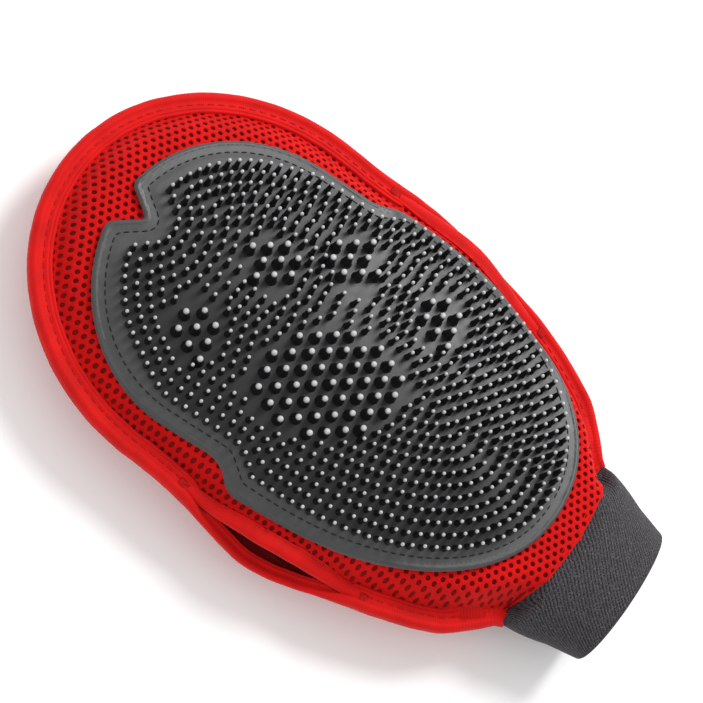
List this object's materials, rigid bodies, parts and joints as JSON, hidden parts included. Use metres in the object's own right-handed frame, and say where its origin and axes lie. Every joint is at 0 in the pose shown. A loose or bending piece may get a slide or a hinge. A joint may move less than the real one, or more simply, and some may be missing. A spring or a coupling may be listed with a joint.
{
  "type": "grooming glove",
  "caption": "Pet grooming mitt: mesh shell with taped edges, thumb slots on both sides, an elastic cuff and a moulded rubber brush pad of fine and coarse nubs.",
  "frame": {"origin": "centre of the object's box on the surface that the back panel rests on", "axes": "+Y from the cuff to the fingertips, +Z out of the brush pad, +X towards the thumb slot that a right hand uses"},
  "size_m": [0.145, 0.24, 0.0458],
  "materials": {
    "air_mesh": "open-hole polyester air mesh, matte",
    "back_fabric": "fine warp-knit polyester, matte",
    "edge_tape": "smooth woven binding tape, soft sheen",
    "pad_rubber": "moulded thermoplastic rubber, satin",
    "cuff_elastic": "ribbed woven elastic, heathered",
    "black_thread": "polyester sewing thread",
    "red_thread": "polyester sewing thread"
  },
  "bodies": {
    "palm": {"palm_mesh_heel": "air_mesh", "back_panel_heel": "back_fabric", "brush_pad_heel": "pad_rubber", "pad_stitching_heel": "black_thread", "wrist_stitching": "red_thread", "side_binding_left": "edge_tape", "side_stitching_left": "red_thread", "slot_binding_left_palm": "edge_tape", "slot_binding_left_back": "edge_tape", "slot_stitching_left_palm": "red_thread", "slot_stitching_left_back": "red_thread", "bar_tack_left_wrist": "red_thread", "side_binding_right": "edge_tape", "side_stitching_right": "red_thread", "slot_binding_right_palm": "edge_tape", "slot_binding_right_back": "edge_tape", "slot_stitching_right_palm": "red_thread", "slot_stitching_right_back": "red_thread", "bar_tack_right_wrist": "red_thread"},
    "fingers": {"palm_mesh_fingers": "air_mesh", "back_panel_fingers": "back_fabric", "brush_pad_fingers": "pad_rubber", "pad_stitching_fingers": "black_thread", "edge_binding": "edge_tape", "edge_stitching": "red_thread", "bar_tack_left_finger": "red_thread", "bar_tack_right_finger": "red_thread"},
    "cuff": {"cuff_elastic": "cuff_elastic", "cuff_seam_stitching": "black_thread"}
  },
  "joints": [
    {"name": "finger_flex", "type": "hinge", "parent": "palm", "child": "fingers", "pos_m": [0, 0.022, 0.0461], "axis": [1, 0, 0], "range_deg": [0, 35], "stiffness_Nm_per_rad": 0.02},
    {"name": "wrist_flex", "type": "hinge", "parent": "palm", "child": "cuff", "pos_m": [0, -0.088, 0.0378], "axis": [-1, 0, 0], "range_deg": [0, 25], "stiffness_Nm_per_rad": 0.01}
  ]
}
